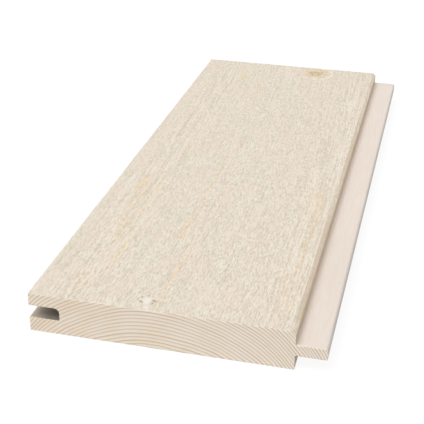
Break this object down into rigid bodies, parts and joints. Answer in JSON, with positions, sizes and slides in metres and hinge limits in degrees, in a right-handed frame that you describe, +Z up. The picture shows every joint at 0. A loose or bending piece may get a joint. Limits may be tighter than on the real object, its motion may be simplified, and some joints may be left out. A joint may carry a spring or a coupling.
{
  "type": "cladding board",
  "caption": "Flat softwood board with a pale fine-sawn face, a groove along one edge and a matching tongue along the other, for covering walls edge to edge.",
  "frame": {"origin": "on the floor under the middle of the board, tongue included", "axes": "+X across the board from the groove to the tongue, +Y along the grain, +Z up out of the sawn face"},
  "size_m": [0.145, 0.366, 0.021],
  "materials": {
    "pale_softwood": "matte"
  },
  "bodies": {
    "root": {"cladding_board": "pale_softwood"}
  },
  "joints": []
}
